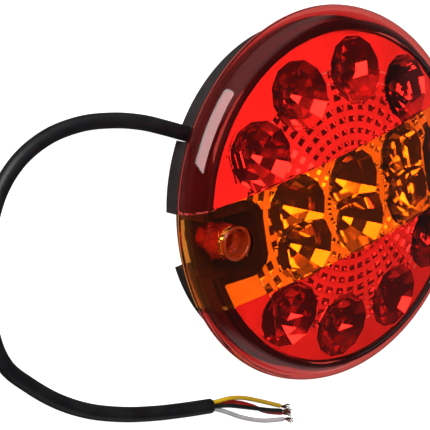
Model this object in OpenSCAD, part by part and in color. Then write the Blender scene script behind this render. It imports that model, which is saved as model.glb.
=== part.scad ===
// Round rear lamp for a trailer: tail, brake and direction light in one 140 mm housing.
// The lamp lies on its mounting plane, z = 0, with the lens facing +Z.
// +X is the lamp's right and +Y its upper edge when it is fixed to the vehicle.

/* [Lens] */
// Outer diameter of the lens
lens_d = 140; // [136:1:144]
// Wall thickness of the lens
lens_wall = 2.2; // [1.8:0.1:2.6]
// Radius of the domed face inside the rounded shoulder
face_r = 61.3; // [60.8:0.1:61.8]
// Height of the edge of the face above the mounting plane
face_edge_z = 24.4; // [24:0.1:24.8]
// Rise of the face from its edge to its middle
face_rise = 7.2; // [6.8:0.1:7.6]
// Outer radius of the rounded shoulder
shoulder_r = 11; // [10.8:0.1:11.2]
// Half the width of the amber band
band_half = 18.6; // [18:0.1:19.2]

/* [Housing] */
// Outer radius of the rear rim
rim_r = 63.5; // [63:0.1:64]
// Height of the rear rim, up to the skirt of the lens
rim_h = 9.7; // [9.5:0.1:10]
// Wall thickness of the rear rim
rim_wall = 2.6; // [2:0.1:3]
// Depth of the space behind the floor
recess_h = 8.2; // [8:0.1:8.4]
// Thickness of the floor
floor_t = 2; // [1.8:0.1:2.2]
// Outer radius of the chamber wall
wall_r = 64.4; // [64:0.1:64.6]
// Thickness of the chamber wall
wall_t = 3.1; // [2.8:0.1:3.2]
// Height of the sealing bead between the chamber wall and the lens
seal_t = 1; // [0.6:0.1:1.2]

/* [Mounting screws] */
// Distance of each mounting hole from the middle
bolt_r = 53.5; // [53:0.1:54]
// Turn of the line of mounting holes from the amber band, in degrees
well_tilt = 4; // [3:0.5:5]
// Radius of each mounting hole
bolt_hole_r = 2.75; // [2.5:0.05:3]
// Outer radius of the screw sleeve at the lens
sleeve_r = 6.3; // [6:0.1:6.5]
// Height of the top of the screw sleeve
sleeve_top = 26; // [25.5:0.1:26.5]

/* [Light units] */
// Radius across the corners of a reflector cup at its rim
cup_r = 12.4; // [12:0.1:12.6]
// Number of flat sides of a cup
cup_sides = 12; // [12:12:12]
// Distance of the amber columns from each other
amber_pitch_x = 27; // [26.5:0.5:27.5]
// Distance of the two amber rows from each other
amber_pitch_y = 15; // [14:0.5:16]

/* [Cable] */
// Outer diameter of the cable
cable_d = 5.5; // [5:0.1:5.6]
// Diameter of each insulated wire
wire_d = 1.6; // [1.4:0.1:1.8]

/* [Hidden] */

ROUND = 64;
SMALL = 24;
CUT = 1;
TALL = 60;
lens_r = lens_d / 2;

// Profile of the lens: a shallow dome, a fine step, a rounded shoulder and a drafted skirt.
dome_r = (face_r * face_r + face_rise * face_rise) / (2 * face_rise);
dome_centre_z = face_edge_z + face_rise - dome_r;
shoulder_c = lens_r - shoulder_r;
shoulder_z = rim_h + 5;
shoulder_start = 75;
shoulder_inner_start = 60;
skirt_draft = 1.5;
dome_steps = 14;
arc_steps = 7;
function dome_z(r, drop) = dome_centre_z + sqrt(pow(dome_r - drop, 2) - r * r);
function dome_points(reach, drop) = [
    for (i = [0 : dome_steps]) [reach * i / dome_steps, dome_z(reach * i / dome_steps, drop)]
];
function shoulder_points(r, start) = [
    for (i = [0 : arc_steps])
        let (a = start * (1 - i / arc_steps))
        [shoulder_c + r * cos(a), shoulder_z + r * sin(a)]
];

// Chamber, wells and bosses.
well_wall_x = 44.5;
well_half = 10.4;
well_corner = 4;
pad_r = 60.5;
pad_z = 5.2;
boss_r = 3;
boss_z = 4;
rib_h = 1.2;
rib_t = 1.6;
rib_from = 14;
rib_to = 57;
board_z = 12.2;
board_t = 1.6;
board_top = board_z + board_t;
board_r = 59.6;
flange_r = 66.2;
flange_t = 2.5;
post_r = 2.2;
post_gap = 0.15;
post_places = [[0, 57.5], [0, -57.5], [-52, 21.5], [52, -21.5]];
board_screw_places = [[0, 26], [0, -26], [47.5, 18.5], [-47.5, -18.5]];
screw_core_r = 1.25;
screw_end_z = 5.2;
screw_head_r = 2.6;
screw_head_t = 1.7;
sleeve_foot_r = 4.6;
sleeve_step_z = 14;
counterbore_r = 5.1;
counterbore_z = 20.6;

// Reflector and light units.
reflector_gap = 0.8;
reflector_t = 1.2;
reflector_r = 60.7;
reflector_margin = 0.6;
cup_foot_r = 3.4;
cup_wall = 1.1;
cup_foot_z = board_top + 0.5;
led_side = 3.5;
led_t = 1.1;
led_dome_r = 1.5;
red_places = [
    for (sx = [-1, 1], sy = [-1, 1]) each [[14 * sx, 45.1 * sy], [37.3 * sx, 30.4 * sy]]
];
amber_places = [
    for (i = [-1 : 1], s = [-1, 1]) [amber_pitch_x * i, amber_pitch_y / 2 * s]
];

// Cable entry: a potted well behind the floor, with the cable leaving it at a slant.
entry_x = -26;
entry_y = 26;
entry_turn = 148;
entry_z = 4.2;
entry_wall_r = 10;
entry_inner_r = 8;
entry_low = 0.8;
entry_hole_r = 4;
cable_start = 3;
grommet_start = 6;
grommet_end = 22;
grommet_r = 4;
groove_r = 3.5;
slot_r = 3.55;
slot_len = 14;
rim_slot_from = 20;
rim_slot_r = 2.95;
pad_x = -20.5;
pad_y = 17.5;
pad_pitch = 3.4;
cable_r = cable_d / 2;
wire_r = wire_d / 2;
lie_z = 2.8;
function entry_at(s, side = 0, z = entry_z) = [
    entry_x + s * cos(entry_turn) - side * sin(entry_turn),
    entry_y + s * sin(entry_turn) + side * cos(entry_turn),
    z
];

// Centre line of the cable: out of the grommet, down to the mounting plane and round to its end.
cable_route = [
    entry_at(cable_start), entry_at(12), entry_at(grommet_end), entry_at(30, 0, 4),
    [-57, 45.4, 3.5], [-66, 50.6, 3], [-77, 55.2, lie_z], [-90, 58.6, lie_z], [-104, 59, lie_z],
    [-117, 55.2, lie_z], [-127.5, 47, lie_z], [-135.5, 34, lie_z], [-140.5, 19, lie_z],
    [-142.5, 3, lie_z], [-140.5, -9, lie_z], [-134, -19, lie_z], [-125, -29.5, lie_z],
    [-114, -38.8, lie_z], [-101, -46.6, lie_z], [-88, -52.6, lie_z], [-75, -57.6, lie_z],
    [-63, -61.8, lie_z]
];

// The four wires leave the end of the cable side by side, and each ends in bare copper.
cable_tip = cable_route[len(cable_route) - 1];
cable_last = cable_tip - cable_route[len(cable_route) - 2];
end_turn = atan2(cable_last[1], cable_last[0]);
function end_at(s, side, z) = [
    cable_tip[0] + s * cos(end_turn) - side * sin(end_turn),
    cable_tip[1] + s * sin(end_turn) + side * cos(end_turn),
    z
];
yellow_route = [
    end_at(0, 1.4, 2.9), end_at(3, 1.4, 2.9), [-54, -62.9, 3], [-47.5, -66, 2.4],
    [-41, -70.3, 1.6], [-35, -74.6, 1], [-29.8, -78.4, 0.9]
];
black_route = [
    end_at(0, 0, 4.2), end_at(3, 0, 4.2), [-55, -65.2, 4.1], [-49.5, -68.6, 3.2],
    [-43.5, -72.3, 2.6], [-37, -76.2, 2.6], [-30.5, -79.9, 1.9]
];
red_route = [
    end_at(0, -0.2, 1.4), end_at(3, -0.2, 1.4), [-55.5, -64.4, 1.1], [-49.5, -67.3, 1],
    [-43.5, -71.6, 0.9], [-37, -77.3, 0.9], [-30, -81.5, 0.9]
];
white_route = [
    end_at(0, -1.5, 2.9), end_at(3, -1.6, 2.7), [-55.5, -68.3, 2.2], [-50, -73, 1.2],
    [-44.5, -77, 0.9], [-38, -80.8, 0.9], [-29.5, -84.4, 0.9]
];
strand_r = 0.55;
strand_straight = 2.4;
strand_tips = [[2.6, -1.4, -0.1], [2.9, -1.7, 0.1], [2.8, -1.3, -0.1], [2.2, -1.9, -0.1]];

// A round tube swept along the points of a route. ref is any direction that no stretch follows.
function unit(v) = v / norm(v);
function heading(route, i) =
    unit(route[min(i + 1, len(route) - 1)] - route[max(i - 1, 0)]);
function ring(route, i, r, sides, ref) =
    let (t = heading(route, i), u = unit(cross(ref, t)), v = cross(t, u))
    [for (k = [0 : sides - 1]) route[i] + r * (cos(360 * k / sides) * u + sin(360 * k / sides) * v)];
module swept_tube(route, r, sides, ref = [0, 0, 1]) {
    rings = len(route);
    points = [for (i = [0 : rings - 1]) each ring(route, i, r, sides, ref)];
    walls = [
        for (i = [0 : rings - 2], k = [0 : sides - 1])
            let (next = (k + 1) % sides, here = i * sides, on = here + sides)
            each [[here + k, on + k, on + next], [here + k, on + next, here + next]]
    ];
    first = [for (k = [0 : sides - 1]) k];
    last = [for (k = [sides - 1 : -1 : 0]) (rings - 1) * sides + k];
    polyhedron(points = points, faces = concat(walls, [first, last]));
}

// Repeats its children at the left well and at the right well, each with the well towards -X.
module at_wells() {
    for (turn = [0, 180]) rotate([0, 0, turn - well_tilt]) children();
}

// Outline of the space cleared for one screw well: a slot from x = -near outwards.
module well_outline(near, half, corner) {
    far = 90;
    translate([-far, -half]) square([far - near - corner, 2 * half]);
    translate([-near - corner - CUT, corner - half]) square([corner + CUT, 2 * (half - corner)]);
    for (s = [-1, 1]) translate([-near - corner, s * (half - corner)]) circle(r = corner, $fn = SMALL);
}

// A disc with both wells cut from it.
module body_outline(r, grow = 0) {
    difference() {
        circle(r = r, $fn = ROUND);
        at_wells() well_outline(well_wall_x - grow, well_half + grow, well_corner + grow);
    }
}

module lens_outside() {
    rotate_extrude($fn = ROUND)
        polygon(concat(
            [[0, rim_h]],
            dome_points(face_r, 0),
            shoulder_points(shoulder_r, shoulder_start),
            [[lens_r - skirt_draft, rim_h]]
        ));
}

module lens_inside(drop = 0) {
    translate([0, 0, -drop]) rotate_extrude($fn = ROUND)
        polygon(concat(
            [[0, rim_h - CUT]],
            dome_points(face_r, lens_wall),
            shoulder_points(shoulder_r - lens_wall, shoulder_inner_start),
            [[flange_r + 0.2, rim_h], [flange_r + 0.2, rim_h - CUT]]
        ));
}

module lens_shell() {
    difference() {
        lens_outside();
        lens_inside();
        at_wells() translate([-bolt_r, 0, 0]) cylinder(r = sleeve_r, h = TALL, $fn = ROUND);
    }
}

module lens_above(side) {
    intersection() {
        lens_shell();
        translate([-lens_d, side > 0 ? band_half : -band_half - lens_d, 0]) cube([2 * lens_d, lens_d, TALL]);
    }
}

module lens_red_upper() {
    color([0.78, 0.05, 0.04, 0.6]) lens_above(1);
}

module lens_red_lower() {
    color([0.78, 0.05, 0.04, 0.6]) lens_above(-1);
}

module lens_amber_band() {
    color([0.95, 0.4, 0.03, 0.6])
        intersection() {
            lens_shell();
            translate([-lens_d, -band_half, 0]) cube([2 * lens_d, 2 * band_half, TALL]);
        }
}

// The wall that closes the light chamber, following the circle and both wells.
module chamber_wall(drop) {
    intersection() {
        translate([0, 0, recess_h]) linear_extrude(TALL) difference() {
            body_outline(wall_r);
            body_outline(wall_r - wall_t, wall_t);
        }
        lens_inside(drop);
    }
}

module lens_seal() {
    color([0.03, 0.03, 0.03])
        difference() {
            chamber_wall(0);
            lens_inside(seal_t);
        }
}

// Slot for the cable: round the grommet's groove in the entry wall, and closer in the rim.
module entry_slot() {
    translate([entry_x, entry_y, 0]) rotate([0, 0, entry_turn]) {
        for (cut = [[entry_inner_r - CUT, slot_r, slot_len], [rim_slot_from, rim_slot_r, TALL]]) {
            translate([cut[0], 0, entry_z]) rotate([0, 90, 0])
                cylinder(r = cut[1], h = cut[2], $fn = SMALL);
            translate([cut[0], -cut[1], -CUT]) cube([cut[2], 2 * cut[1], entry_z + CUT]);
        }
    }
}

// Low stiffening ribs behind the floor: a ring and eight spokes.
module floor_ribs() {
    translate([0, 0, recess_h - rib_h]) linear_extrude(rib_h + CUT) {
        difference() {
            circle(r = rib_from, $fn = ROUND);
            circle(r = rib_from - rib_t, $fn = ROUND);
        }
        intersection() {
            body_outline(rim_r - rim_wall / 2);
            for (k = [0 : 7]) rotate(45 * k + 22.5)
                translate([rib_from - rib_t / 2, -rib_t / 2]) square([rib_to - rib_from, rib_t]);
        }
    }
}

module housing() {
    color([0.09, 0.09, 0.09])
        difference() {
            union() {
                linear_extrude(rim_h) difference() {
                    body_outline(rim_r);
                    body_outline(rim_r - rim_wall, rim_wall);
                }
                translate([0, 0, recess_h]) linear_extrude(floor_t) body_outline(rim_r);
                translate([0, 0, rim_h]) linear_extrude(flange_t) difference() {
                    body_outline(flange_r);
                    body_outline(rim_r - rim_wall, rim_wall);
                }
                chamber_wall(seal_t);
                translate([0, 0, pad_z]) linear_extrude(recess_h - pad_z) intersection() {
                    circle(r = pad_r, $fn = ROUND);
                    at_wells() well_outline(well_wall_x - CUT, well_half + CUT, well_corner);
                }
                for (p = board_screw_places) translate([p[0], p[1], boss_z])
                    cylinder(r = boss_r, h = board_z - boss_z, $fn = SMALL);
                for (p = post_places) translate([p[0], p[1], recess_h])
                    cylinder(r = post_r, h = dome_z(norm(p), lens_wall + reflector_gap + reflector_t)
                        - post_gap - recess_h, $fn = SMALL);
                translate([entry_x, entry_y, entry_low])
                    cylinder(r = entry_wall_r, h = recess_h - entry_low + CUT, $fn = ROUND);
                floor_ribs();
            }
            at_wells() translate([-bolt_r, 0, -CUT]) cylinder(r = sleeve_foot_r, h = TALL, $fn = ROUND);
            for (p = board_screw_places) translate([p[0], p[1], screw_end_z])
                cylinder(r = screw_core_r, h = TALL, $fn = SMALL);
            translate([entry_x, entry_y, 0]) cylinder(r = entry_inner_r, h = recess_h, $fn = ROUND);
            translate([entry_x, entry_y, 0]) cylinder(r = entry_hole_r, h = TALL, $fn = ROUND);
            entry_slot();
        }
}

module screw_sleeves() {
    color([0.85, 0.12, 0.05, 0.7])
        at_wells() translate([-bolt_r, 0, 0]) difference() {
            union() {
                cylinder(r = sleeve_foot_r, h = sleeve_step_z, $fn = ROUND);
                translate([0, 0, sleeve_step_z])
                    cylinder(r = sleeve_r, h = sleeve_top - sleeve_step_z, $fn = ROUND);
            }
            translate([0, 0, -CUT]) cylinder(r = bolt_hole_r, h = TALL, $fn = ROUND);
            translate([0, 0, counterbore_z]) cylinder(r = counterbore_r, h = TALL, $fn = ROUND);
        }
}

// The outside of one cup, or its inside when inset is the wall thickness.
module cup_cone(place, inset) {
    rim_z = dome_z(norm(place), lens_wall + reflector_gap);
    slope = (cup_r - cup_foot_r) / (rim_z - cup_foot_z);
    translate([place[0], place[1], cup_foot_z])
        cylinder(r1 = cup_foot_r + cup_wall - inset, r2 = cup_r + cup_wall - inset + slope * 3,
            h = rim_z - cup_foot_z + 3, $fn = cup_sides);
}

module reflector_limit(drop, thick) {
    intersection() {
        difference() {
            rotate_extrude($fn = ROUND)
                polygon(concat([[0, board_top]], dome_points(reflector_r, drop), [[reflector_r, board_top]]));
            if (thick > 0)
                rotate_extrude($fn = ROUND)
                    polygon(concat([[0, 0]], dome_points(lens_r, drop + thick), [[lens_r, 0]]));
        }
        linear_extrude(TALL) body_outline(reflector_r, wall_t + reflector_margin);
    }
}

module reflector() {
    drop = lens_wall + reflector_gap;
    color([0.8, 0.8, 0.82])
        difference() {
            union() {
                reflector_limit(drop, reflector_t);
                intersection() {
                    reflector_limit(drop, 0);
                    for (p = concat(red_places, amber_places)) cup_cone(p, 0);
                }
            }
            for (p = concat(red_places, amber_places)) {
                cup_cone(p, cup_wall);
                translate([p[0], p[1], board_top - CUT]) cylinder(r = cup_foot_r - 0.2, h = 3, $fn = SMALL);
            }
        }
}

module circuit_board() {
    color([0.9, 0.9, 0.86])
        translate([0, 0, board_z]) linear_extrude(board_t) difference() {
            body_outline(board_r, wall_t + reflector_margin);
            translate([entry_x, entry_y]) circle(r = entry_hole_r, $fn = ROUND);
            for (p = board_screw_places) translate(p) circle(r = screw_core_r, $fn = SMALL);
            for (p = post_places) translate(p) circle(r = post_r + 0.3, $fn = SMALL);
        }
}

module board_screws() {
    color("silver")
        for (p = board_screw_places) translate([p[0], p[1], 0]) difference() {
            union() {
                translate([0, 0, screw_end_z]) cylinder(r = screw_core_r, h = board_top - screw_end_z, $fn = SMALL);
                translate([0, 0, board_top]) cylinder(r = screw_head_r, h = screw_head_t, $fn = SMALL);
            }
            for (turn = [0, 90]) rotate([0, 0, turn])
                translate([-1.6, -0.35, board_top + 0.7]) cube([3.2, 0.7, 2]);
        }
}

module led_bodies(places) {
    for (p = places) translate([p[0] - led_side / 2, p[1] - led_side / 2, board_top])
        cube([led_side, led_side, led_t]);
}

module led_domes(places) {
    for (p = places) translate([p[0], p[1], board_top + led_t]) intersection() {
        sphere(r = led_dome_r, $fn = SMALL);
        translate([-led_side, -led_side, 0]) cube(2 * led_side);
    }
}

module red_leds() {
    color([0.92, 0.92, 0.9]) led_bodies(red_places);
}

module red_led_domes() {
    color([1, 0.35, 0.3]) led_domes(red_places);
}

module amber_leds() {
    color([0.92, 0.92, 0.9]) led_bodies(amber_places);
}

module amber_led_domes() {
    color([1, 0.8, 0.35]) led_domes(amber_places);
}

// Small parts on the board stand between the feet of the cups.
module chips(places, size) {
    for (p = places) translate([p[0] - size[0] / 2, p[1] - size[1] / 2, board_top]) cube(size);
}

module resistors() {
    color([0.1, 0.1, 0.12]) chips([for (i = [-3 : 3]) [7 * i, -36 + abs(i) * 2]], [3.2, 1.6, 0.6]);
}

module diodes() {
    color([0.14, 0.14, 0.15]) chips([for (i = [0 : 2]) [pad_x + 7, pad_y + 1 + 4 * i]], [4.3, 2.6, 2.1]);
}

module driver_chips() {
    color([0.08, 0.08, 0.09]) chips([[14, 22], [14, -22], [-14, -22]], [4.9, 3.9, 1.5]);
}

module capacitors() {
    color([0.72, 0.6, 0.45]) chips([[22, 22], [22, -20], [-22, -20], [8, 32]], [3.2, 1.6, 1.4]);
}

module solder_pads() {
    color([0.75, 0.75, 0.77])
        for (i = [0 : 3]) translate([pad_x, pad_y + pad_pitch * i, board_top])
            cylinder(r = 1.1, h = 0.5, $fn = SMALL);
}

// One of the four leads: from the end of the cable, up through the potting and over to its pad.
module inner_lead(i) {
    side = 0.9 * (i % 2 == 0 ? -1 : 1);
    high = 0.9 * (i < 2 ? -1 : 1);
    x = pad_x;
    y = pad_y + pad_pitch * i;
    swept_tube([
        entry_at(cable_start, side, entry_z + high), entry_at(1, side, entry_z + high),
        entry_at(-0.6 - high, side, entry_z + 2), entry_at(-0.6 - high, side * 1.2, 9),
        entry_at(-0.6 - high, side * 1.2, board_top), [entry_x + 2.2, entry_y + (y - entry_y) * 0.3, 17.4],
        [x - 1.4, y - (y - entry_y) * 0.3, 17.4], [x, y, 15.8], [x, y, board_top + 0.5]
    ], wire_r * 0.8, 8, i < 2 ? [0.7, 0.7, 0] : [0.4, 0.9, 0]);
}

module inner_lead_yellow() {
    color([0.95, 0.8, 0.05]) inner_lead(0);
}

module inner_lead_black() {
    color([0.06, 0.06, 0.06]) inner_lead(1);
}

module inner_lead_red() {
    color([0.8, 0.06, 0.05]) inner_lead(2);
}

module inner_lead_white() {
    color([0.93, 0.93, 0.9]) inner_lead(3);
}

module entry_potting() {
    color([0.05, 0.05, 0.05])
        difference() {
            union() {
                translate([entry_x, entry_y, entry_low])
                    cylinder(r = entry_inner_r, h = recess_h - entry_low, $fn = ROUND);
                translate([entry_x, entry_y, recess_h]) cylinder(r = entry_hole_r, h = floor_t, $fn = ROUND);
            }
            translate([entry_x, entry_y, entry_z]) rotate([0, 0, entry_turn]) rotate([0, 90, 0]) {
                translate([0, 0, cable_start]) cylinder(r = cable_r, h = TALL, $fn = ROUND);
                translate([0, 0, grommet_start]) cylinder(r = grommet_r, h = TALL, $fn = ROUND);
            }
        }
}

module cable_grommet() {
    color([0.07, 0.07, 0.07])
        translate([entry_x, entry_y, entry_z]) rotate([0, 0, entry_turn]) rotate([0, 90, 0])
            rotate_extrude($fn = ROUND)
                polygon([
                    [cable_r, grommet_start], [grommet_r, grommet_start], [grommet_r, entry_inner_r - 0.3],
                    [groove_r, entry_inner_r - 0.3], [groove_r, entry_wall_r + 0.1],
                    [grommet_r, entry_wall_r + 0.1], [grommet_r - 0.1, 13], [cable_r + 0.5, grommet_end],
                    [cable_r, grommet_end]
                ]);
}

module cable() {
    color([0.06, 0.06, 0.06]) swept_tube(cable_route, cable_r, 12);
}

module wire_yellow() {
    color([0.95, 0.8, 0.05]) swept_tube(yellow_route, wire_r, 8);
}

module wire_black() {
    color([0.06, 0.06, 0.06]) swept_tube(black_route, wire_r, 8);
}

module wire_red() {
    color([0.8, 0.06, 0.05]) swept_tube(red_route, wire_r, 8);
}

module wire_white() {
    color([0.93, 0.93, 0.9]) swept_tube(white_route, wire_r, 8);
}

module copper_strands() {
    wires = [yellow_route, black_route, red_route, white_route];
    color([0.72, 0.4, 0.25]) for (i = [0 : 3]) {
        last = len(wires[i]) - 1;
        start = wires[i][last];
        bend = start + strand_straight * heading(wires[i], last);
        swept_tube([start, bend, bend + strand_tips[i]], strand_r, 8);
    }
}

housing();
lens_red_upper();
lens_red_lower();
lens_amber_band();
lens_seal();
screw_sleeves();
reflector();
circuit_board();
board_screws();
red_leds();
red_led_domes();
amber_leds();
amber_led_domes();
resistors();
diodes();
driver_chips();
capacitors();
solder_pads();
inner_lead_yellow();
inner_lead_black();
inner_lead_red();
inner_lead_white();
entry_potting();
cable_grommet();
cable();
wire_yellow();
wire_black();
wire_red();
wire_white();
copper_strands();
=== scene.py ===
"""Round trailer tail light: the looks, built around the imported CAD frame.

The lamp lies on its mounting plane, z = 0, with the lens facing +Z. +X is its right along the
amber band. Sizes are in millimetres and repeat part.scad's own; mm() turns them into metres.
"""
import math
import random

import bmesh
import bpy
from mathutils import Matrix, Vector


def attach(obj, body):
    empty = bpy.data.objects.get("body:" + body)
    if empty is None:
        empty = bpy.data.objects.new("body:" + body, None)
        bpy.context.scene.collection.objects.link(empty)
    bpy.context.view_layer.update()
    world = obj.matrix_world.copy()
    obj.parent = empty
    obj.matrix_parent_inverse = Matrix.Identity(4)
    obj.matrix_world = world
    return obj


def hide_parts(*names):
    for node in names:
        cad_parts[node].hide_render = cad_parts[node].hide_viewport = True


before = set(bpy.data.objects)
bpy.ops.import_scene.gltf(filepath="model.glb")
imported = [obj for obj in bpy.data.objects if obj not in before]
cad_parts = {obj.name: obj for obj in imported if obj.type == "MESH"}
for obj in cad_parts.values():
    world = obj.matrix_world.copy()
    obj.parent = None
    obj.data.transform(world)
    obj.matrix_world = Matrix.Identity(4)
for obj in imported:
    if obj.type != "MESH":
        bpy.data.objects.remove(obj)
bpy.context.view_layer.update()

# ---------------------------------------------------------------- sizes, mm
MM = 0.001
DOME_R = 264.55            # sphere that the lens face is part of
DOME_CENTRE_Z = -232.95
FACE_R = 61.3              # where the face meets the shoulder's lip
SHOULDER_R = 59.0          # centre of the shoulder's arc
SHOULDER_Z = 14.7
SHOULDER_OUT = 11.0        # outer radius of the shoulder
LENS_WALL = 2.2
FACE_STEP = 1.5            # between the rings of the lens face
GROOVE_R = 60.2, 60.35, 60.7, 60.85    # near edge, bottom and far edge of the face's groove
GROOVE_DEPTH = 0.22
LIP_OUT = 0.12             # the lip between the face and the shoulder
LIP_UP = 0.35
SKIRT_FOOT_Z = 9.7
SKIRT_FOOT_OUT = 67.0
SKIRT_FOOT_IN = 65.0
LENS_SIDES = 360
BAND_HALF = 18.6           # half height of the amber band
BAND_GAP = 0.015           # half of the parting line between two colours

SLEEVE_XY = 53.37, -3.73   # right screw; the left one is opposite
SLEEVE_R = 6.3
SLEEVE_FOOT_R = 4.6
SLEEVE_CHAMFER = 0.3
SLEEVE_STEP_Z = 14.0
SLEEVE_TOP_Z = 26.0
BORE_R = 2.75
COUNTERBORE_R = 5.1
COUNTERBORE_Z = 20.6
SLEEVE_ROUND = 0.5         # rounding of the sleeve's outer lip
BORE_ROUND = 0.35          # and of its counterbore and bore
SLEEVE_SIDES = 192
HOLE_SIDES = 96            # of the lens's holes for the sleeves
SLEEVE_FLUTES = 24
FLUTE_SHARE = 0.035        # flute depth as a share of the radius
FLUTED_TO_Z = 23.2

REFLECTOR_R = 60.7
REFLECTOR_DROP = 2.5       # below the lens dome
REFLECTOR_WALL = 2.8
RING = 4.4                 # radial pitch of the tiles
SPOKES = 40
PITTED_R = 50.0            # tiles inside this radius have a pit
# Corners of one tile along its ring, as shares of its width, and whether the pit lowers them.
TILE_SHARES = (0.0, False), (0.19, False), (0.22, True), (0.78, True), (0.81, False)
PIT_DEPTH = 0.38           # at the middle
PIT_GROWTH = 0.018         # of the depth per mm of radius
PIT_RUN = 2.0              # the slope starts this many depths, and PIT_SLOPE_EDGE, inside the tile's
PIT_SLOPE_EDGE = 0.35      # outer edge
PIT_FOOT_EDGE = 0.3        # the pit's foot, inside that edge
PIT_STEP_EDGE = 0.08       # the top of the step that ends the pit, inside that edge
LEVEL = 0.95               # least upward normal of a level face, which is satin
WELL_TURN = 176.0          # direction of the left well's centre, degrees
WELL_NEAR = 40.8
WELL_HALF = 14.1
WELL_CORNER = 7.7
WELL_OUT = 90              # the wells are open past the reflector's edge
WELL_Z = 5, 45

CUP_SIDES = 12
CUP_TIERS = 2.1, 5.6, 9.3, 12.4
CUP_FOOT_Z = 18.0
CUP_WALL = 1.1
CUP_THICK = 0.5            # of the wall, measured down
CUP_RIM = 0.3, 0.4         # the rim's edge, outward and down
CUP_OVERCUT = 3, 6         # of the cutters, below the foot and above the rim
CUP_SHIFT = 1.4, -0.9      # of the amber cups from the lamps below them
CUP_BELOW_FACE = 0.35      # what is less than this below the face isn't in a cup
RED_CUPS = [(-35.2, 29.7), (-12.6, 44.3), (15.5, 44.3), (38.9, 29.5),
            (-36.0, -31.2), (-12.8, -45.9), (15.4, -45.9), (38.8, -31.2)]
AMBER_CUPS_UPPER = [(x + CUP_SHIFT[0], 7.5 + CUP_SHIFT[1]) for x in (-27, 0, 27)]
AMBER_CUPS_LOWER = [(x + CUP_SHIFT[0], -7.5 + CUP_SHIFT[1]) for x in (-27, 0, 27)]
PRISM_BLOCKS = [(-48.3, 23.8, 6.2, 10.2), (-48.3, -36.6, 6.2, 10.2),
                (-38.4, 1.2, 5.8, 9.6), (-38.0, -13.5, 5.6, 9.6)]    # x, y, width, height
BLOCK_FLUTES = 3
FLUTE_HIGH = 0.2           # from the reflector's face
FLUTE_LOW = -0.35
BLOCK_FOOT = -1.6

CABLE_R = 2.75
CABLE_SIDES = 48
WIRE_R = 0.8
WIRE_SIDES = 24
TUBE_END = 0.85            # radius of a tube's end face as a share of its own
ENTRY = -26.0, 26.0        # start of the cable's straight way out of the housing
ENTRY_TURN = 148.0         # its direction, degrees
ENTRY_Z = 4.2
GROMMET_END = 22.0         # along that way
LIE_Z = 2.8                # of the cable's centre where it lies on the floor
CABLE_TIP = -63.0, -61.8   # end of the sheath
END_TURN = math.degrees(math.atan2(-4.2, 12))    # the cable's direction there


def mm(p):
    """A point in millimetres as a vector in metres."""
    return Vector(p) * MM


def dome_z(r, drop=0.0):
    """Height of the lens dome, or of a surface drop below it, at radius r."""
    return DOME_CENTRE_Z + math.sqrt((DOME_R - drop) ** 2 - r * r)


def turned(x, y, degrees):
    """(x, y) turned about the origin."""
    a = math.radians(degrees)
    return x * math.cos(a) - y * math.sin(a), x * math.sin(a) + y * math.cos(a)


# ---------------------------------------------------------------- camera
CAMERA_AT = -383.62, 216.40, 457.67
CAMERA_LOOKS_AT = -48.186, 9.926, 9.7
CAMERA_UP = 0.3659, 0.9186, -0.1494
CAMERA_LENS = 140.68
SENSOR = 36.0


def axes_matrix(at, back, up):
    """Placement at a point, with local Z along back and local Y near up."""
    z = Vector(back).normalized()
    x = Vector(up).cross(z).normalized()
    y = z.cross(x)
    turn = Matrix((x, y, z)).transposed().to_4x4()
    return Matrix.Translation(at) @ turn


def add_camera():
    data = bpy.data.cameras.new("camera")
    data.lens = CAMERA_LENS
    data.sensor_width = SENSOR
    data.clip_start = 0.01
    data.clip_end = 20.0
    camera = bpy.data.objects.new("camera", data)
    bpy.context.scene.collection.objects.link(camera)
    at = mm(CAMERA_AT)
    camera.matrix_world = axes_matrix(at, at - mm(CAMERA_LOOKS_AT), CAMERA_UP)
    bpy.context.scene.camera = camera


add_camera()


# ---------------------------------------------------------------- mesh helpers
SHARP_EDGE = 30.0          # degrees


def smooth_shading(mesh):
    """Shades the mesh smooth, except over its sharp edges."""
    for face in mesh.polygons:
        face.use_smooth = True
    mesh.set_sharp_from_angle(angle=math.radians(SHARP_EDGE))


def new_object(name, bm, smooth=True):
    """An object from a bmesh in millimetres, with its normals outward."""
    bmesh.ops.recalc_face_normals(bm, faces=bm.faces)
    mesh = bpy.data.meshes.new(name)
    bm.to_mesh(mesh)
    bm.free()
    mesh.transform(Matrix.Scale(MM, 4))
    if smooth:
        smooth_shading(mesh)
    obj = bpy.data.objects.new(name, mesh)
    bpy.context.scene.collection.objects.link(obj)
    return obj


def revolve(profile, sides):
    """A closed ring or solid from a closed profile of (r, z); r = 0 is a pole."""
    bm = bmesh.new()
    rings = []
    for r, z in profile:
        if r < 1e-6:
            rings.append([bm.verts.new((0, 0, z))])
            continue
        turns = [2 * math.pi * k / sides for k in range(sides)]
        rings.append([bm.verts.new((r * math.cos(a), r * math.sin(a), z)) for a in turns])
    for a, b in zip(rings, rings[1:] + rings[:1]):
        if len(a) == 1 and len(b) == 1:
            continue
        for k in range(sides):
            n = (k + 1) % sides
            corners = [a[k % len(a)], a[n % len(a)], b[n % len(b)], b[k % len(b)]]
            bm.faces.new(list(dict.fromkeys(corners)))
    return bm


def stack(rings, bm=None):
    """Adds a closed solid from rings of points, bottom to top."""
    bm = bm or bmesh.new()
    loops = [[bm.verts.new(p) for p in ring] for ring in rings]
    for a, b in zip(loops, loops[1:]):
        for k in range(len(a)):
            n = (k + 1) % len(a)
            bm.faces.new((a[k], a[n], b[n], b[k]))
    for loop, flip in ((loops[0], True), (loops[-1], False)):
        centre = sum((v.co for v in loop), Vector()) / len(loop)
        middle = bm.verts.new(centre)
        for k in range(len(loop)):
            n = (k + 1) % len(loop)
            pair = (loop[n], loop[k]) if flip else (loop[k], loop[n])
            bm.faces.new((*pair, middle))
    return bm


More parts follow.
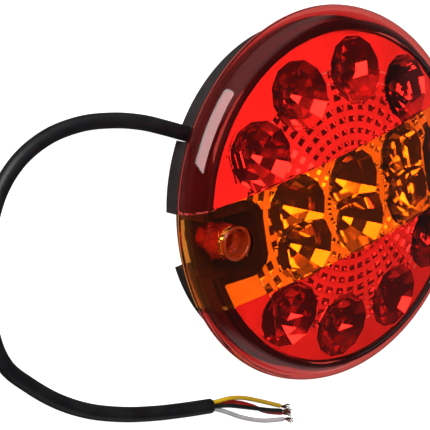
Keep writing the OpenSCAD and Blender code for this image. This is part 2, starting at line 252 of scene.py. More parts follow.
def cut(target, cutter):
    """Cuts cutter out of target, and removes cutter."""
    step = target.modifiers.new("cut", "BOOLEAN")
    step.operation = "DIFFERENCE"
    step.object = cutter
    step.solver = "EXACT"
    evaluated = target.evaluated_get(bpy.context.evaluated_depsgraph_get())
    mesh = bpy.data.meshes.new_from_object(evaluated)
    target.modifiers.remove(step)
    old = target.data
    target.data = mesh
    bpy.data.meshes.remove(old)
    bpy.data.meshes.remove(cutter.data)


def smooth_route(points, step=0.5):
    """A Catmull-Rom curve through the points, in steps of about step mm."""
    p = [Vector(q) for q in points]
    p = [p[0] * 2 - p[1]] + p + [p[-1] * 2 - p[-2]]
    out = []
    for a, b, c, d in zip(p, p[1:], p[2:], p[3:]):
        count = max(2, int((c - b).length / step))
        for i in range(count):
            t = i / count
            out.append(0.5 * (2 * b + (c - a) * t + (2 * a - 5 * b + 4 * c - d) * t * t
                              + (3 * b - a - 3 * c + d) * t ** 3))
    out.append(p[-2])
    return out


def route_frames(path):
    """Point, tangent and a side direction carried along the path without twisting."""
    frames = []
    side = None
    for i, p in enumerate(path):
        tangent = (path[min(i + 1, len(path) - 1)] - path[max(i - 1, 0)]).normalized()
        if side is None:
            side = tangent.orthogonal().normalized()
        side = (side - tangent * side.dot(tangent)).normalized()
        frames.append((p, tangent, side))
    return frames


def tube(name, path, radius, sides, end_profile=None):
    """A round tube along path. end_profile is (back from the end, radius) for its far end."""
    frames = route_frames(path)
    rings = [(p, t, s, radius) for p, t, s in frames]
    p, t, s = frames[0]
    rings.insert(0, (p, t, s, radius * TUBE_END))
    p, t, s = frames[-1]
    for back, r in end_profile or [(0.0, radius * TUBE_END)]:
        rings.append((p - t * back, t, s, r))
    loops = []
    for p, t, s, r in rings:
        up = t.cross(s)
        turns = [2 * math.pi * k / sides for k in range(sides)]
        loops.append([p + (s * math.cos(a) + up * math.sin(a)) * r for a in turns])
    return new_object(name, stack(loops))


# ---------------------------------------------------------------- materials
BUMP_DEPTH = 0.0001        # metres
LENS_GLOSS = 0.36          # specular level of the lens


def material(name):
    """A new node material, its nodes and links, and its Principled shader."""
    m = bpy.data.materials.new(name)
    m.use_nodes = True
    nodes = m.node_tree.nodes
    return m, nodes, m.node_tree.links, nodes["Principled BSDF"]


def noise(nodes, links, scale, detail=4.0, roughness=0.55):
    """Noise in the object's own space, with scale in cells per metre."""
    where = nodes.new("ShaderNodeTexCoord")
    n = nodes.new("ShaderNodeTexNoise")
    n.inputs["Scale"].default_value = scale
    n.inputs["Detail"].default_value = detail
    n.inputs["Roughness"].default_value = roughness
    links.new(where.outputs["Object"], n.inputs["Vector"])
    return n


def finish(name, dark, light, rough, bump=0.1, grain=4000.0, patch=120.0, **sockets):
    """A surface whose colour drifts from dark to light and whose gloss varies, with a fine grain."""
    m, nodes, links, shader = material(name)
    cloud = noise(nodes, links, patch)
    ramp = nodes.new("ShaderNodeValToRGB")
    ramp.color_ramp.elements[0].position = 0.35
    ramp.color_ramp.elements[0].color = (*dark, 1)
    ramp.color_ramp.elements[1].position = 0.65
    ramp.color_ramp.elements[1].color = (*light, 1)
    links.new(cloud.outputs["Fac"], ramp.inputs["Fac"])
    links.new(ramp.outputs["Color"], shader.inputs["Base Color"])
    gloss = nodes.new("ShaderNodeMapRange")
    gloss.inputs["To Min"].default_value = rough[0]
    gloss.inputs["To Max"].default_value = rough[1]
    links.new(cloud.outputs["Fac"], gloss.inputs["Value"])
    links.new(gloss.outputs["Result"], shader.inputs["Roughness"])
    fine = noise(nodes, links, grain, 3.0)
    relief = nodes.new("ShaderNodeBump")
    relief.inputs["Strength"].default_value = bump
    relief.inputs["Distance"].default_value = BUMP_DEPTH
    links.new(fine.outputs["Fac"], relief.inputs["Height"])
    links.new(relief.outputs["Normal"], shader.inputs["Normal"])
    for socket, value in sockets.items():
        shader.inputs[socket.replace("_", " ")].default_value = value
    return m


def clear(name, dark, light, rough=(0.01, 0.03), bump=0.02, **sockets):
    """Clear moulded plastic, which also lets lamplight through in its own colour."""
    m = finish(name, dark, light, rough, bump, grain=900.0, patch=60.0,
               Transmission_Weight=1.0, IOR=1.49, **sockets)
    nodes, links = m.node_tree.nodes, m.node_tree.links
    passing = nodes.new("ShaderNodeBsdfTransparent")
    passing.inputs["Color"].default_value = (*(math.sqrt(c) for c in light), 1)
    ray = nodes.new("ShaderNodeLightPath")
    pick = nodes.new("ShaderNodeMixShader")
    links.new(ray.outputs["Is Shadow Ray"], pick.inputs[0])
    links.new(nodes["Principled BSDF"].outputs[0], pick.inputs[1])
    links.new(passing.outputs[0], pick.inputs[2])
    links.new(pick.outputs[0], nodes["Material Output"].inputs["Surface"])
    return m


LOOKS = {
    "housing_black": finish("black_abs", (0.020, 0.018, 0.017), (0.032, 0.030, 0.029),
                            (0.35, 0.5), 0.25, 2500.0, Specular_IOR_Level=0.35),
    "lens_red": clear("red_pmma", (0.87, 0.10, 0.08), (0.90, 0.11, 0.09), Specular_IOR_Level=LENS_GLOSS),
    "lens_amber": clear("amber_pmma", (0.95, 0.30, 0.03), (0.97, 0.33, 0.04), Specular_IOR_Level=LENS_GLOSS),
    "sealant": finish("bonding_bead", (0.006, 0.004, 0.004), (0.014, 0.01, 0.01),
                      (0.3, 0.45), 0.3, 700.0),
    "sleeve_red": finish("sleeve_pmma", (0.86, 0.10, 0.015), (0.92, 0.13, 0.025),
                         (0.03, 0.07), 0.05, 900.0, 60.0, Transmission_Weight=0.85, IOR=1.49),
    "board": finish("solder_mask", (0.72, 0.73, 0.70), (0.8, 0.81, 0.78), (0.25, 0.4), 0.15, 1500.0),
    "steel": finish("zinc_plate", (0.5, 0.5, 0.52), (0.62, 0.62, 0.63),
                    (0.2, 0.35), 0.2, 3000.0, Metallic=1.0),
    "led_body": finish("led_package", (0.8, 0.8, 0.76), (0.88, 0.88, 0.85), (0.3, 0.4), 0.1),
    "led_dome_red": clear("led_resin_red", (0.95, 0.75, 0.7), (0.98, 0.8, 0.75)),
    "led_dome_amber": clear("led_resin_amber", (0.97, 0.85, 0.6), (0.99, 0.9, 0.7)),
    "chip_black": finish("epoxy", (0.02, 0.02, 0.022), (0.04, 0.04, 0.045), (0.45, 0.6), 0.3),
    "chip_tan": finish("ceramic", (0.48, 0.35, 0.21), (0.6, 0.46, 0.3), (0.4, 0.55), 0.2),
    "solder": finish("solder_alloy", (0.6, 0.6, 0.62), (0.75, 0.75, 0.77),
                     (0.15, 0.3), 0.3, 2000.0, Metallic=1.0),
    "potting": finish("potting_resin", (0.008, 0.008, 0.008), (0.02, 0.02, 0.02), (0.08, 0.2), 0.2, 400.0),
    "rubber_black": finish("rubber", (0.012, 0.012, 0.012), (0.024, 0.024, 0.024),
                           (0.5, 0.65), 0.3, 2500.0),
    "cable_sheath": finish("pvc_sheath", (0.005, 0.005, 0.006), (0.010, 0.010, 0.011),
                           (0.36, 0.46), 0.25, 3500.0, Specular_IOR_Level=0.3),
    "wire_yellow": finish("pvc_yellow", (0.50, 0.31, 0.010), (0.62, 0.40, 0.015), (0.3, 0.4), 0.15),
    "wire_black": finish("pvc_black", (0.006, 0.006, 0.006), (0.012, 0.012, 0.012),
                         (0.3, 0.4), 0.15, Specular_IOR_Level=0.3),
    "wire_red": finish("pvc_red", (0.25, 0.006, 0.006), (0.38, 0.012, 0.01), (0.3, 0.4), 0.15),
    "wire_white": finish("pvc_white", (0.44, 0.42, 0.45), (0.54, 0.52, 0.55), (0.3, 0.4), 0.15),
    "copper": finish("copper_strand", (0.55, 0.19, 0.10), (0.80, 0.34, 0.20),
                     (0.2, 0.35), 0.2, 5000.0, 900.0, Metallic=1.0),
    "reflector_metal": finish("metallised_satin", (0.62, 0.62, 0.62), (0.70, 0.70, 0.70),
                              (0.55, 0.65), 0.15, 1200.0, Metallic=0.1),
}
POLISHED = finish("metallised_bright", (0.86, 0.86, 0.86), (0.92, 0.92, 0.92),
                  (0.05, 0.10), 0.03, 900.0, Metallic=1.0)


def dress(obj, slot, *nodes):
    """Gives a new piece its finish and body, and hides the CAD nodes it stands for."""
    obj.data.materials.clear()
    obj.data.materials.append(LOOKS[slot])
    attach(obj, "root")
    if nodes:
        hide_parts(*nodes)
    return obj


# ---------------------------------------------------------------- cords
def entry_at(s, side=0.0, z=ENTRY_Z):
    """A point s mm along the cable's way out of the housing."""
    x, y = turned(s, side, ENTRY_TURN)
    return ENTRY[0] + x, ENTRY[1] + y, z


def end_at(s, side, z):
    """A point s mm past the sheath's end."""
    x, y = turned(s, side, END_TURN)
    return CABLE_TIP[0] + x, CABLE_TIP[1] + y, z


CABLE_ROUTE = [
    entry_at(3), entry_at(12), entry_at(GROMMET_END), entry_at(30, 0, 4),
    (-57, 45.4, 3.5), (-66, 50.6, 3), (-77, 55.2, LIE_Z), (-90, 58.6, LIE_Z), (-104, 59, LIE_Z),
    (-117, 55.2, LIE_Z), (-127.5, 47, LIE_Z), (-135.5, 34, LIE_Z), (-140.5, 19, LIE_Z),
    (-142.5, 3, LIE_Z), (-140.5, -9, LIE_Z), (-134, -19, LIE_Z), (-125, -29.5, LIE_Z),
    (-114, -38.8, LIE_Z), (-101, -46.6, LIE_Z), (-88, -52.6, LIE_Z), (-75, -57.6, LIE_Z),
    (*CABLE_TIP, LIE_Z),
]
WIRE_ROUTES = {
    "yellow": [end_at(-0.8, 1.2, 2.9), end_at(3, 1.4, 2.9), (-54, -62.9, 3), (-47.5, -66, 2.4),
               (-41, -70.3, 1.6), (-35, -74.6, 1), (-29.8, -78.4, 0.9)],
    "black": [end_at(-0.8, 0, 4.0), end_at(3, 0, 4.2), (-55, -65.2, 4.1), (-49.5, -68.6, 3.2),
              (-43.5, -72.3, 2.6), (-37, -76.2, 2.6), (-30.5, -79.9, 1.9)],
    "red": [end_at(-0.8, -0.2, 1.6), end_at(3, -0.2, 1.4), (-55.5, -64.4, 1.1), (-49.5, -67.3, 1),
            (-43.5, -71.6, 0.9), (-37, -77.3, 0.9), (-30, -81.5, 0.9)],
    "white": [end_at(-0.8, -1.3, 2.8), end_at(3, -1.6, 2.7), (-55.5, -68.3, 2.2), (-50, -73, 1.2),
              (-44.5, -77, 0.9), (-38, -80.8, 0.9), (-29.5, -84.4, 0.9)],
}
STRAND_TIPS = {
    "yellow": (2.6, -1.4, -0.1), "black": (2.9, -1.7, 0.1),
    "red": (2.8, -1.3, -0.1), "white": (2.2, -1.9, -0.1),
}
STRAND_R = 0.19
STRANDS = 8
STRAND_SIDES = 8
STRAND_STEPS = 14
STRAND_LAY = 0.42          # radius of the ring of strands in the insulation
STRAND_TWIST = 2.6         # radians over the strand
STRAND_HIDDEN = 0.5        # inside the insulation
STRAND_STRAIGHT = 2.4      # before the bend
STRAND_BEND = 0.5          # where the strand turns to its tip, as a share of its length
STRAND_WAIST = 0.35        # how far the bundle draws in past the insulation, as a share
STRAND_SPLAY = 0.45        # where the strands part
STRAND_SPREAD = 0.9, 2.6   # least and most, at the tips
STRAND_REACH = 0.75, 1.0   # shortest and longest, as a share of the tip
SHEATH_END = [(0.0, 2.75), (-0.04, 2.7), (-0.04, 1.95), (0.8, 1.85)]


def strand_bundle(name, end, heading, tip, seed):
    """Bare copper strands, twisted where they leave the insulation and splayed at their tips."""
    draw = random.Random(seed)
    side = heading.orthogonal().normalized()
    up = heading.cross(side)
    bm = bmesh.new()
    for k in range(STRANDS):
        turn = 2 * math.pi * k / STRANDS
        inner = 0.0 if k == 0 else STRAND_LAY
        spread = draw.uniform(*STRAND_SPREAD)
        reach = draw.uniform(*STRAND_REACH)
        points = []
        for i in range(STRAND_STEPS + 1):
            t = i / STRAND_STEPS
            a = turn + STRAND_TWIST * t
            waist = 1 - STRAND_WAIST * math.sin(math.pi * min(1, 1.6 * t))
            out = inner * waist + spread * max(0, t - STRAND_SPLAY) ** 1.5
            straight = STRAND_STRAIGHT * min(t, STRAND_BEND) / STRAND_BEND
            along = end + heading * straight - heading * STRAND_HIDDEN
            along += Vector(tip) * (max(0, t - STRAND_BEND) / (1 - STRAND_BEND)) * reach
            point = along + (side * math.cos(a) + up * math.sin(a)) * out
            point.z = max(point.z, STRAND_R + 0.02)
            points.append(point)
        loops = []
        for p, t, s in route_frames(points):
            u = t.cross(s)
            turns = [2 * math.pi * j / STRAND_SIDES for j in range(STRAND_SIDES)]
            loops.append([p + (s * math.cos(a) + u * math.sin(a)) * STRAND_R for a in turns])
        stack(loops, bm)
    return new_object(name, bm)


def add_cords():
    """The cable, and the four wires that come out of its sheath with their bare strands."""
    path = smooth_route(CABLE_ROUTE)
    cable = dress(tube("cable_run", path, CABLE_R, CABLE_SIDES, SHEATH_END), "cable_sheath", "cable")
    for seed, (colour, route) in enumerate(WIRE_ROUTES.items()):
        path = smooth_route(route)
        wire = tube("wire_run_" + colour, path, WIRE_R, WIRE_SIDES)
        dress(wire, "wire_" + colour, "wire_" + colour)
        heading = (path[-1] - path[-3]).normalized()
        strands = strand_bundle("strands_" + colour, path[-1], heading, STRAND_TIPS[colour], seed)
        dress(strands, "copper", "copper_strands")


add_cords()


# ---------------------------------------------------------------- lens
def arc(centre_r, centre_z, radius, start, stop, count):
    """Points on an arc between two directions in degrees, in count steps."""
    turns = [math.radians(start + (stop - start) * i / count) for i in range(count + 1)]
    return [(centre_r + radius * math.cos(a), centre_z + radius * math.sin(a)) for a in turns]


def lens_profile():
    """Closed outline of the lens wall, from its middle out, round the shoulder and back inside."""
    outer = [(r, dome_z(r)) for r in [0.0] + [0.4 + FACE_STEP * i for i in range(40)]]
    near, bottom_near, bottom_far, far = GROOVE_R
    outer += [(near, dome_z(near)), (bottom_near, dome_z(bottom_near) - GROOVE_DEPTH)]
    outer += [(bottom_far, dome_z(bottom_far) - GROOVE_DEPTH), (far, dome_z(far))]
    outer += [(FACE_R, dome_z(FACE_R)), (FACE_R + LIP_OUT, dome_z(FACE_R) + LIP_UP)]
    outer += arc(SHOULDER_R, SHOULDER_Z, SHOULDER_OUT, 75, 0, 24)
    outer += [(SKIRT_FOOT_OUT + 0.1, SKIRT_FOOT_Z + 0.35), (SKIRT_FOOT_OUT - 0.2, SKIRT_FOOT_Z)]
    inner_out = SHOULDER_OUT - LENS_WALL
    inner = [(SKIRT_FOOT_IN, SKIRT_FOOT_Z)] + arc(SHOULDER_R, SHOULDER_Z, inner_out, 0, 60, 20)
    inner += [(r, dome_z(r, LENS_WALL)) for r in [61.0, 60.0] + [58.4 - FACE_STEP * i for i in range(39)]]
    inner += [(0.0, dome_z(0, LENS_WALL))]
    return outer + inner


def slice_lens(name, keep):
    """The part of the lens that keep's planes leave: each is (y, +1 to keep above or -1 below)."""
    bm = revolve(lens_profile(), LENS_SIDES)
    for y, sign in keep:
        geometry = bm.verts[:] + bm.edges[:] + bm.faces[:]
        bmesh.ops.bisect_plane(bm, geom=geometry, plane_co=(0, y, 0), plane_no=(0, -sign, 0),
                               clear_outer=True)
        rim = [e for e in bm.edges if e.is_boundary]
        bmesh.ops.triangle_fill(bm, edges=rim, use_beauty=True)
    return new_object(name, bm)


def sleeve_holes():
    """Two cylinders that clear the sleeves through the lens."""
    bm = bmesh.new()
    reach = SLEEVE_R + 0.02
    for sign in (-1, 1):
        cx, cy = SLEEVE_XY[0] * sign, SLEEVE_XY[1] * sign
        turns = [2 * math.pi * k / HOLE_SIDES for k in range(HOLE_SIDES)]
        stack([[(cx + reach * math.cos(a), cy + reach * math.sin(a), z) for a in turns]
               for z in (10.0, 40.0)], bm)
    return new_object("holes", bm)


def add_lens():
    """The lens's three parts, with the sleeves' holes in the amber one."""
    upper = slice_lens("lens_shell_red_upper", [(BAND_HALF + BAND_GAP, 1)])
    lower = slice_lens("lens_shell_red_lower", [(-BAND_HALF - BAND_GAP, -1)])
    amber = slice_lens("lens_shell_amber", [(BAND_HALF - BAND_GAP, -1), (-BAND_HALF + BAND_GAP, 1)])
    cut(amber, sleeve_holes())
    smooth_shading(amber.data)
    dress(upper, "lens_red", "lens_red_upper")
    dress(lower, "lens_red", "lens_red_lower")
    dress(amber, "lens_amber", "lens_amber_band")


def add_sleeves():
    """Two screw sleeves with a rounded lip, a counterbore and fluted sides under the lens."""
    top = SLEEVE_TOP_Z - SLEEVE_ROUND
    shank = SLEEVE_STEP_Z + 0.6
    profile = [(BORE_R, 0.0), (SLEEVE_FOOT_R - SLEEVE_CHAMFER, 0.0), (SLEEVE_FOOT_R, SLEEVE_CHAMFER),
               (SLEEVE_FOOT_R, SLEEVE_STEP_Z - 0.4), (SLEEVE_FOOT_R + SLEEVE_CHAMFER, SLEEVE_STEP_Z)]
    profile += [(SLEEVE_R, shank + (top - shank) * i / 12) for i in range(12)]
    profile += arc(SLEEVE_R - SLEEVE_ROUND, top, SLEEVE_ROUND, 0, 90, 5)
    profile += arc(COUNTERBORE_R + BORE_ROUND, SLEEVE_TOP_Z - BORE_ROUND, BORE_ROUND, 90, 180, 4)
    profile += [(COUNTERBORE_R, COUNTERBORE_Z + SLEEVE_CHAMFER),
                (COUNTERBORE_R - SLEEVE_CHAMFER, COUNTERBORE_Z),
                (BORE_R + BORE_ROUND, COUNTERBORE_Z), (BORE_R, COUNTERBORE_Z - BORE_ROUND)]
    bm = bmesh.new()
    for sign in (-1, 1):
        part = revolve(profile, SLEEVE_SIDES)
        for v in part.verts:
            r = math.hypot(v.co.x, v.co.y)
            if r > COUNTERBORE_R + 0.9 and v.co.z < FLUTED_TO_Z:
                a = math.atan2(v.co.y, v.co.x)
                depth = FLUTE_SHARE * (0.5 + 0.5 * math.cos(SLEEVE_FLUTES * a))
                v.co.xy = v.co.xy * (1 - depth)
            v.co.x += SLEEVE_XY[0] * sign
            v.co.y += SLEEVE_XY[1] * sign
        mesh = bpy.data.meshes.new("part")
        part.to_mesh(mesh)
        part.free()
        bm.from_mesh(mesh)
        bpy.data.meshes.remove(mesh)
    dress(new_object("sleeve_pair", bm), "sleeve_red", "screw_sleeves")


add_lens()
add_sleeves()


# ---------------------------------------------------------------- reflector
def face_z(r, drop=0.0):
    """Height of the reflector's face, or of a surface drop below it."""
    return dome_z(r, REFLECTOR_DROP + drop)


def tiled_sheet():
    """The reflector's sheet: level tiles in terraces down the dome, each with a pit whose slope faces
    out, and a plain border outside PITTED_R."""
    columns = [((k + share) * 2 * math.pi / SPOKES, pitted)
               for k in range(SPOKES) for share, pitted in TILE_SHARES]
    edges = [RING * i for i in range(1, int(REFLECTOR_R / RING) + 1)]
    rings = []
    for r0, r1 in zip(edges, edges[1:] + [REFLECTOR_R]):
        level = face_z((r0 + r1) / 2)
        if r1 > PITTED_R:
            rings.append((r0, face_z(r0), 0.0))
            continue
        pit = PIT_DEPTH + PIT_GROWTH * r1
        rings += [(r0, level, 0.0), (r1 - PIT_SLOPE_EDGE - PIT_RUN * pit, level, 0.0)]
        rings += [(r1 - PIT_FOOT_EDGE, level, pit), (r1 - PIT_STEP_EDGE, level, 0.0)]
    rings.append((REFLECTOR_R, face_z(REFLECTOR_R), 0.0))
    bm = bmesh.new()

    def ring_of(r, z, pit):
        return [bm.verts.new((r * math.cos(a), r * math.sin(a), z - (pit if pitted else 0.0)))
                for a, pitted in columns]

    top = [ring_of(*ring) for ring in rings]
    under = [ring_of(r, face_z(r, REFLECTOR_WALL), 0.0) for r in edges + [REFLECTOR_R]]
    loops = top + under[::-1]
    count = len(columns)
    for a, b in zip(loops, loops[1:]):
        for k in range(count):
            n = (k + 1) % count
            bm.faces.new((a[k], a[n], b[n], b[k]))
    for loop, z in ((loops[0], face_z(0)), (loops[-1], face_z(0, REFLECTOR_WALL))):
        middle = bm.verts.new((0, 0, z))
        for k in range(count):
            bm.faces.new((loop[k], loop[(k + 1) % count], middle))
    return new_object("reflector_optics", bm, smooth=False)


def cup_ring(cx, cy, r, z_of):
    """A cup's ring of corners at radius r. z_of gives the height from the rim's at that corner."""
    out = []
    for k in range(CUP_SIDES):
        a = 2 * math.pi * k / CUP_SIDES
        rim = face_z(math.hypot(cx + CUP_TIERS[-1] * math.cos(a), cy + CUP_TIERS[-1] * math.sin(a)))
        out.append((cx + r * math.cos(a), cy + r * math.sin(a), z_of(rim)))
    return out


def bowl_z(r, rim):
    """Height of a cup's wall at radius r: a parabola from its foot to the rim."""
    low, high = CUP_TIERS[0], CUP_TIERS[-1]
    return CUP_FOOT_Z + (rim - CUP_FOOT_Z) * (r * r - low * low) / (high * high - low * low)


def cup_hollows(name, places, straight=False):
    """Solids that fill the cups, or straight prisms through the sheet where the cups open."""
    bm = bmesh.new()
    for cx, cy in places:
        low = CUP_TIERS[-1] if straight else CUP_TIERS[0]
        rings = [cup_ring(cx, cy, low, lambda rim: CUP_FOOT_Z - CUP_OVERCUT[0])]
        if not straight:
            rings += [cup_ring(cx, cy, r, lambda rim, r=r: bowl_z(r, rim)) for r in CUP_TIERS]
        rings.append(cup_ring(cx, cy, CUP_TIERS[-1], lambda rim: rim + CUP_OVERCUT[1]))
        stack(rings, bm)
    return new_object(name, bm, smooth=False)


def cup_shells(name, places):
    """The faceted walls of the cups, open at the foot for the lamps."""
    bm = bmesh.new()
    for cx, cy in places:
        rings = [cup_ring(cx, cy, r, lambda rim, r=r: bowl_z(r, rim)) for r in CUP_TIERS]
        rings += [cup_ring(cx, cy, CUP_TIERS[-1] + CUP_RIM[0], lambda rim: rim - CUP_RIM[1])]
        outer = [cup_ring(cx, cy, r + CUP_WALL, lambda rim, r=r: bowl_z(r, rim) - CUP_THICK)
                 for r in CUP_TIERS]
        rings += outer[::-1]
        loops = [[bm.verts.new(p) for p in ring] for ring in rings]
        for a, b in zip(loops, loops[1:] + loops[:1]):
            for k in range(CUP_SIDES):
                n = (k + 1) % CUP_SIDES
                bm.faces.new((a[k], a[n], b[n], b[k]))
    return new_object(name, bm, smooth=False)


def well_cutters():
    """Prisms that clear the two screw wells."""
    bm = bmesh.new()
    inner, corner = WELL_NEAR + WELL_CORNER, WELL_HALF - WELL_CORNER
    for turn in (WELL_TURN, WELL_TURN + 180):
        outline = [(WELL_OUT, -WELL_HALF), (WELL_OUT, WELL_HALF)]
        outline += arc(inner, corner, WELL_CORNER, 90, 180, 12)
        outline += arc(inner, -corner, WELL_CORNER, 180, 270, 12)
        stack([[(*turned(x, y, turn), z) for x, y in outline] for z in WELL_Z], bm)
    return new_object("wells", bm, smooth=False)


def prism_blocks():
    """Fluted blocks beside the outer cups, mirrored on the right."""
    bm = bmesh.new()
    halves = 2 * BLOCK_FLUTES
    for x0, y0, wide, high in PRISM_BLOCKS:
        stations = [(x0 + wide * i / halves, FLUTE_HIGH if i % 2 else FLUTE_LOW)
                    for i in range(halves + 1)]
        for sign in (1, -1):
            rings = []
            for y in (y0, y0 + high):
                ring = [(x, y, face_z(math.hypot(x, y)) + rise) for x, rise in stations]
                ring += [(x, y, face_z(math.hypot(x, y)) + BLOCK_FOOT) for x, _ in reversed(stations)]
                rings.append([(sign * x, y, z) for x, y, z in ring])
            loops = [[bm.verts.new(p) for p in ring] for ring in rings]
            count = len(loops[0])
            for k in range(count):
                n = (k + 1) % count
                bm.faces.new((loops[0][k], loops[0][n], loops[1][n], loops[1][k]))
            half = len(stations)
            for loop in loops:
                for i in range(half - 1):
                    bm.faces.new((loop[i], loop[i + 1], loop[count - 2 - i], loop[count - 1 - i]))
    return new_object("blocks", bm, smooth=False)


def in_a_cup(x, y, z):
    """True for a point on the faceted wall of a cup."""
    r = math.hypot(x, y)
    if z > face_z(r) - CUP_BELOW_FACE:
        return False
    reach = CUP_TIERS[-1] + 0.05
    cups = RED_CUPS + AMBER_CUPS_UPPER + AMBER_CUPS_LOWER
    return any(math.hypot(x - cx, y - cy) < reach for cx, cy in cups)


def join(target, *others):
    """Adds the others' meshes to target's."""
    bm = bmesh.new()
    for obj in (target, *others):
        bm.from_mesh(obj.data)
    bm.to_mesh(target.data)
    bm.free()
    for obj in others:
        bpy.data.meshes.remove(obj.data)


def add_reflector():
    """The tray: satin on its level faces, polished in its cups and on every slope."""
    upper, lower = RED_CUPS + AMBER_CUPS_UPPER, AMBER_CUPS_LOWER
    sheet = tiled_sheet()
    cut(sheet, cup_hollows("holes", upper, True))
    cut(sheet, cup_hollows("holes", lower, True))
    cut(sheet, well_cutters())
    shells = cup_shells("shells", upper)
    cut(shells, cup_hollows("hollows", lower))
    others = cup_shells("shells", lower)
    cut(others, cup_hollows("hollows", upper))
    join(sheet, shells, others, prism_blocks())
    dress(sheet, "reflector_metal", "reflector")
    sheet.data.materials.append(POLISHED)
    for face in sheet.data.polygons:
        face.use_smooth = False
        x, y, z = face.center / MM
        satin = face.normal.z > LEVEL and not in_a_cup(x, y, z)
        face.material_index = 0 if satin else 1


add_reflector()


# ---------------------------------------------------------------- CAD nodes that stay
KEPT_SLOTS = {
    "housing": "housing_black", "lens_seal": "sealant", "circuit_board": "board", "board_screws": "steel",
    "red_leds": "led_body", "red_led_domes": "led_dome_red", "amber_leds": "led_body",
    "amber_led_domes": "led_dome_amber", "resistors": "chip_black", "diodes": "chip_black",
    "driver_chips": "chip_black", "capacitors": "chip_tan", "solder_pads": "solder",
    "inner_lead_yellow": "wire_yellow", "inner_lead_black": "wire_black", "inner_lead_red": "wire_red",
    "inner_lead_white": "wire_white", "entry_potting": "potting", "cable_grommet": "rubber_black",
}
for node, slot in KEPT_SLOTS.items():
    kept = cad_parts[node]
    kept.data.materials.clear()
    kept.data.materials.append(LOOKS[slot])


# ---------------------------------------------------------------- studio
FLOOR_HALF = 2500
FLOOR_DROP = 0.3           # below the lamp, so that the two don't flicker
FLOOR_GLOW = 0.96
FLOOR_THROUGH = 0.45       # share of the glow that is seen through the lens
STUDIO_DIM = 0.08          # brightness of the studio around the panels
# Each panel: where it starts and where it is full, as a direction along one axis, then its brightness.
PANEL_UP = 0.52, 0.68, STUDIO_DIM, 0.74
PANEL_UP_EDGE = -0.45, -0.15, 0.0, 1.0
PANEL_DOWN = -0.80, -0.93, STUDIO_DIM, 0.85
PANEL_RIGHT = 0.80, 0.97, STUDIO_DIM, 0.30
# Each softbox: azimuth, elevation, distance and size in metres, watts.
SOFTBOX_LEFT = 129, 20, 0.7, (0.52, 0.46), 5.4
SOFTBOX_OVERHEAD = 113, 67, 0.8, (0.40, 0.40), 4.2
SOFTBOX_AIM = 0, 0, 15


def add_floor():
    """A plain pale floor: bright where it is seen, less so through the lens, and dim in reflections."""
    bm = bmesh.new()
    bmesh.ops.create_grid(bm, x_segments=8, y_segments=8, size=FLOOR_HALF)
    floor = new_object("floor", bm, smooth=False)
    floor.location.z = -FLOOR_DROP * MM
    m = bpy.data.materials.new("floor")
    m.use_nodes = True
    nodes, links = m.node_tree.nodes, m.node_tree.links
    nodes.clear()
    seen = nodes.new("ShaderNodeLightPath")
    dim = nodes.new("ShaderNodeBsdfDiffuse")
    dim.inputs["Color"].default_value = (0.10, 0.10, 0.10, 1)
    pale = nodes.new("ShaderNodeBsdfDiffuse")
    pale.inputs["Color"].default_value = (0.5, 0.5, 0.5, 1)
    glow = nodes.new("ShaderNodeEmission")
    glow.inputs["Strength"].default_value = FLOOR_GLOW
    both = nodes.new("ShaderNodeAddShader")
    pick = nodes.new("ShaderNodeMixShader")
    out = nodes.new("ShaderNodeOutputMaterial")
    links.new(pale.outputs[0], both.inputs[0])
    links.new(glow.outputs[0], both.inputs[1])
    veiled = nodes.new("ShaderNodeMath")
    veiled.operation = "MULTIPLY"
    veiled.inputs[1].default_value = FLOOR_THROUGH
    through = nodes.new("ShaderNodeMath")
    through.operation = "MAXIMUM"
    links.new(seen.outputs["Is Camera Ray"], through.inputs[0])
    links.new(seen.outputs["Is Transmission Ray"], veiled.inputs[0])
    links.new(veiled.outputs["Value"], through.inputs[1])
    links.new(through.outputs["Value"], pick.inputs[0])
    links.new(dim.outputs[0], pick.inputs[1])
    links.new(both.outputs[0], pick.inputs[2])
    links.new(pick.outputs[0], out.inputs["Surface"])
    floor.data.materials.append(m)


def smooth_ramp(nodes, links, source, start, full, low, high):
    """A smooth ramp of source between start and full, as a value from low to high."""
    level = nodes.new("ShaderNodeMapRange")
    level.interpolation_type = "SMOOTHSTEP"
    sockets = zip(("From Min", "From Max", "To Min", "To Max"), (start, full, low, high))
    for socket, value in sockets:
        level.inputs[socket].default_value = value
    links.new(source, level.inputs["Value"])
    return level.outputs["Result"]


def combined(nodes, links, operation, first, second):
    """The output of a Math node on two outputs."""
    step = nodes.new("ShaderNodeMath")
    step.operation = operation
    links.new(first, step.inputs[0])
    links.new(second, step.inputs[1])
    return step.outputs["Value"]


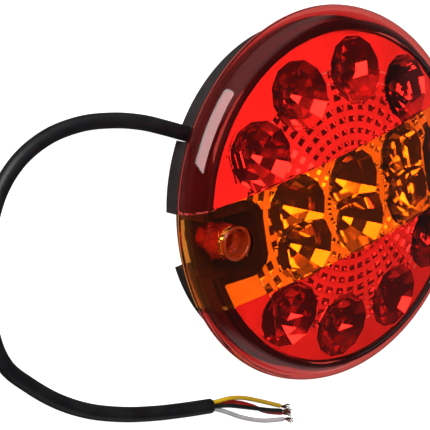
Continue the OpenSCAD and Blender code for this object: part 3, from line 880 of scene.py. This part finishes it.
def add_world():
    """A dim studio with bright panels past the lamp's upper, lower and right edges, white where seen."""
    world = bpy.data.worlds.new("studio")
    world.use_nodes = True
    bpy.context.scene.world = world
    nodes, links = world.node_tree.nodes, world.node_tree.links
    nodes.clear()
    where = nodes.new("ShaderNodeTexCoord")
    split = nodes.new("ShaderNodeSeparateXYZ")
    links.new(where.outputs["Generated"], split.inputs[0])
    x, y = split.outputs["X"], split.outputs["Y"]
    up = smooth_ramp(nodes, links, y, *PANEL_UP)
    total = combined(nodes, links, "MULTIPLY", up, smooth_ramp(nodes, links, x, *PANEL_UP_EDGE))
    for axis, panel in ((y, PANEL_DOWN), (x, PANEL_RIGHT)):
        total = combined(nodes, links, "MAXIMUM", total, smooth_ramp(nodes, links, axis, *panel))
    lit = nodes.new("ShaderNodeBackground")
    links.new(total, lit.inputs["Strength"])
    seen = nodes.new("ShaderNodeBackground")
    path = nodes.new("ShaderNodeLightPath")
    pick = nodes.new("ShaderNodeMixShader")
    out = nodes.new("ShaderNodeOutputWorld")
    links.new(path.outputs["Is Camera Ray"], pick.inputs[0])
    links.new(lit.outputs[0], pick.inputs[1])
    links.new(seen.outputs[0], pick.inputs[2])
    links.new(pick.outputs[0], out.inputs["Surface"])


def add_softbox(name, azimuth, elevation, distance, size, power):
    """A rectangular lamp in that direction from the aim point, facing it."""
    data = bpy.data.lights.new(name, "AREA")
    data.shape = "RECTANGLE"
    data.size, data.size_y = size
    data.energy = power
    a, e = math.radians(azimuth), math.radians(elevation)
    back = Vector((math.cos(a) * math.cos(e), math.sin(a) * math.cos(e), math.sin(e)))
    light = bpy.data.objects.new(name, data)
    bpy.context.scene.collection.objects.link(light)
    light.matrix_world = axes_matrix(mm(SOFTBOX_AIM) + back * distance, back, (0, 0, 1))
    return light


add_floor()
add_world()
add_softbox("softbox_left", *SOFTBOX_LEFT)
overhead = add_softbox("softbox_overhead", *SOFTBOX_OVERHEAD)
overhead.visible_glossy = False
bpy.context.scene.view_settings.view_transform = "Standard"
